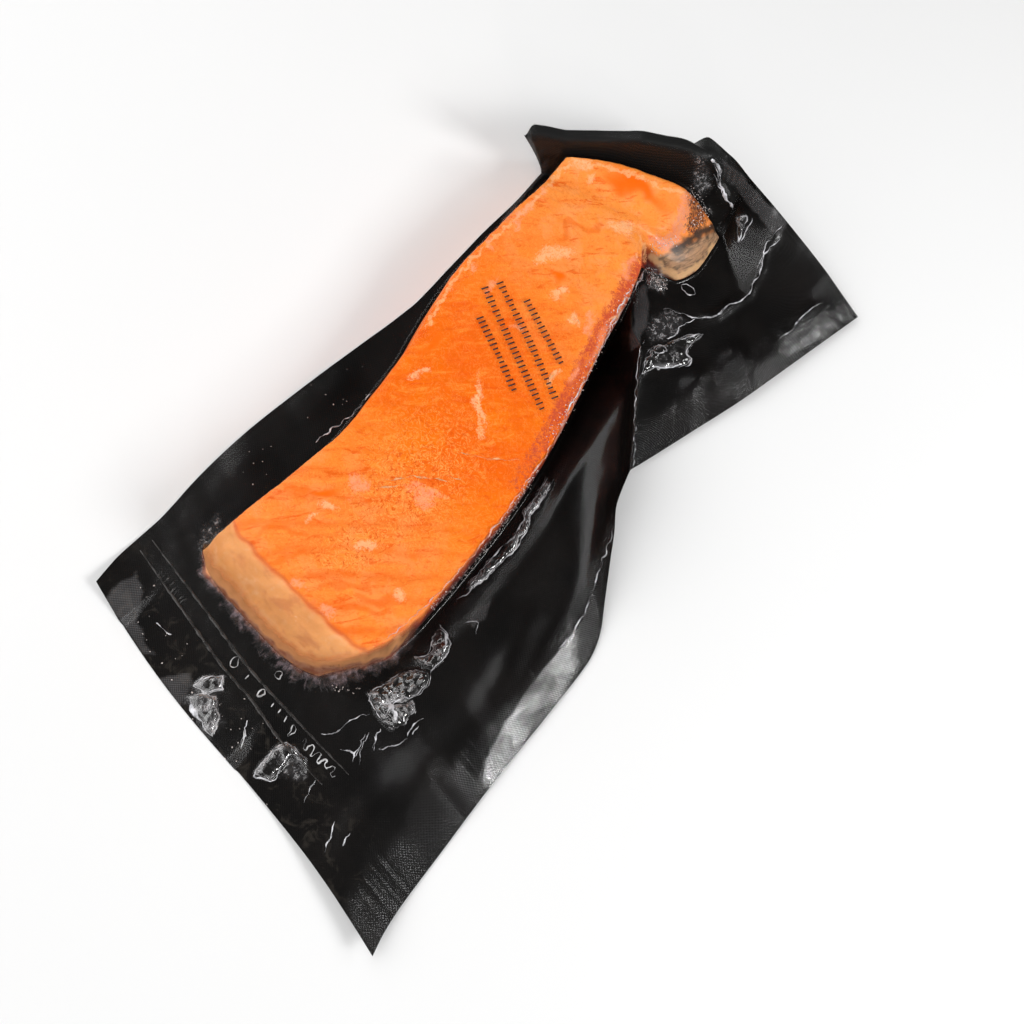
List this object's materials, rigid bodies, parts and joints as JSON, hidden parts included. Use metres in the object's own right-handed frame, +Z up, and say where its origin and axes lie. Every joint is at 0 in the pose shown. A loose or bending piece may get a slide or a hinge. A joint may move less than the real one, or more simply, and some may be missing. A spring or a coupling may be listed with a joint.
{
  "type": "frozen salmon portion in a vacuum pouch",
  "caption": "Frozen salmon portion lying in a slack vacuum pouch with a black backing film and a clear front film.",
  "frame": {"origin": "middle of the pouch's footprint, at table level", "axes": "+Z up out of the table, +Y along the pouch from its cut mouth to its folded far end, +X to the right seen from the mouth"},
  "size_m": [0.1816, 0.3054, 0.0356],
  "materials": {
    "black_film": "gloss, finely embossed",
    "salmon_flesh": "frozen fish flesh, satin with frost",
    "clear_film": "clear gloss film"
  },
  "bodies": {
    "root": {"backing_film": "black_film", "salmon_portion": "salmon_flesh", "clear_film": "clear_film"}
  },
  "joints": []
}
